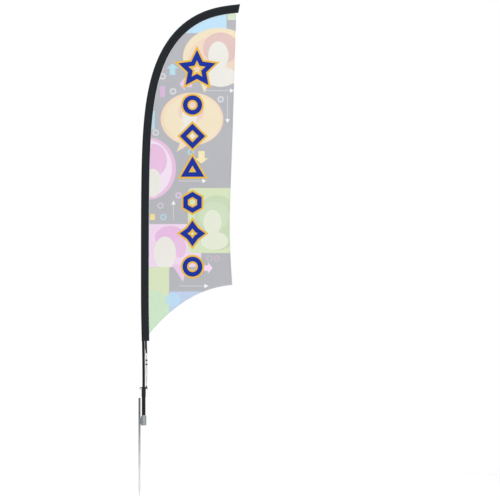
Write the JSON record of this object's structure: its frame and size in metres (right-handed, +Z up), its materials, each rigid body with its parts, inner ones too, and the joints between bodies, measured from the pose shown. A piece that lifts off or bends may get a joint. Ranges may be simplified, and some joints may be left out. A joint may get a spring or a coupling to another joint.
{
  "type": "feather flag",
  "caption": "Tall double-sided feather flag with a hollowed base: a sleeve on a bent pole, tensioned by an elastic, turning on a ball-bearing ground spike.",
  "frame": {"origin": "point of the pole axis level with the ground, the middle of the bearing housing's underside", "axes": "+Z up along the pole foot, +X from the pole towards the fly edge of the cloth, +Y from the front face of the cloth to its back face"},
  "size_m": [0.6098, 0.032, 2.9586],
  "materials": {
    "galvanised_steel": "dull zinc coating with a fine spangle",
    "bright_steel": "turned and zinc plated",
    "bearing_steel": "ground and polished",
    "cage_brass": "satin",
    "black_aluminium": "black anodised, satin",
    "black_fibreglass": "black pultruded fibreglass, low sheen",
    "black_plastic": "moulded nylon, fine grain",
    "black_rubber": "matt",
    "sleeve_fabric": "charcoal woven polyester, stitched",
    "black_webbing": "black woven webbing",
    "printed_cloth": "knitted polyester with a dye-printed pastel pattern",
    "liner_fabric": "dark woven blockout cloth",
    "white_plastic": "white acetal",
    "white_elastic": "white braided elastic cord"
  },
  "bodies": {
    "ground_spike": {"spike_rod": "galvanised_steel", "weld_web": "galvanised_steel", "bearing_housing": "galvanised_steel", "outer_race_lower": "bearing_steel", "outer_race_upper": "bearing_steel", "outer_spacer": "galvanised_steel", "circlip": "bright_steel", "dust_cap": "black_rubber"},
    "spindle": {"spindle": "bright_steel", "inner_race_lower": "bearing_steel", "inner_race_upper": "bearing_steel", "inner_spacer": "galvanised_steel", "thrust_washer": "bright_steel", "lock_nut": "bright_steel"},
    "lower_cage": {"ball_cage_lower": "cage_brass", "ball_lower_1": "bearing_steel", "ball_lower_2": "bearing_steel", "ball_lower_3": "bearing_steel", "ball_lower_4": "bearing_steel", "ball_lower_5": "bearing_steel", "ball_lower_6": "bearing_steel", "ball_lower_7": "bearing_steel"},
    "upper_cage": {"ball_cage_upper": "cage_brass", "ball_upper_1": "bearing_steel", "ball_upper_2": "bearing_steel", "ball_upper_3": "bearing_steel", "ball_upper_4": "bearing_steel", "ball_upper_5": "bearing_steel", "ball_upper_6": "bearing_steel", "ball_upper_7": "bearing_steel"},
    "pole": {"base_tube": "black_aluminium", "pole_plug": "black_plastic", "hook_collar": "black_plastic", "lower_pole": "black_fibreglass", "lower_spigot": "bright_steel", "middle_pole": "black_fibreglass", "upper_spigot": "bright_steel", "top_pole": "black_fibreglass", "tip_cap": "black_rubber", "pole_sleeve": "sleeve_fabric", "tip_reinforcement": "black_webbing", "front_panel": "printed_cloth", "blockout_liner": "liner_fabric", "back_panel": "printed_cloth", "webbing_tab": "black_webbing", "tension_ring": "white_plastic", "elastic_loop": "white_elastic", "cord_grip": "black_rubber", "crimp_upper": "black_rubber", "crimp_lower": "black_rubber"}
  },
  "joints": [
    {"name": "spindle_spin", "type": "hinge", "parent": "ground_spike", "child": "spindle", "pos_m": [0, 0, 0.03], "axis": [0, 0, 1], "continuous": true},
    {"name": "lower_cage_spin", "type": "hinge", "parent": "ground_spike", "child": "lower_cage", "pos_m": [0, 0, 0.018], "axis": [0, 0, 1], "continuous": true},
    {"name": "upper_cage_spin", "type": "hinge", "parent": "ground_spike", "child": "upper_cage", "pos_m": [0, 0, 0.042], "axis": [0, 0, 1], "continuous": true},
    {"name": "pole_lift_off", "type": "slide", "parent": "spindle", "child": "pole", "axis": [0, 0, 1], "range_m": [0, 0.094]}
  ],
  "couplings": [
    {"joint": "lower_cage_spin", "follows": "spindle_spin", "ratio": 0.3722},
    {"joint": "upper_cage_spin", "follows": "spindle_spin", "ratio": 0.3722}
  ]
}
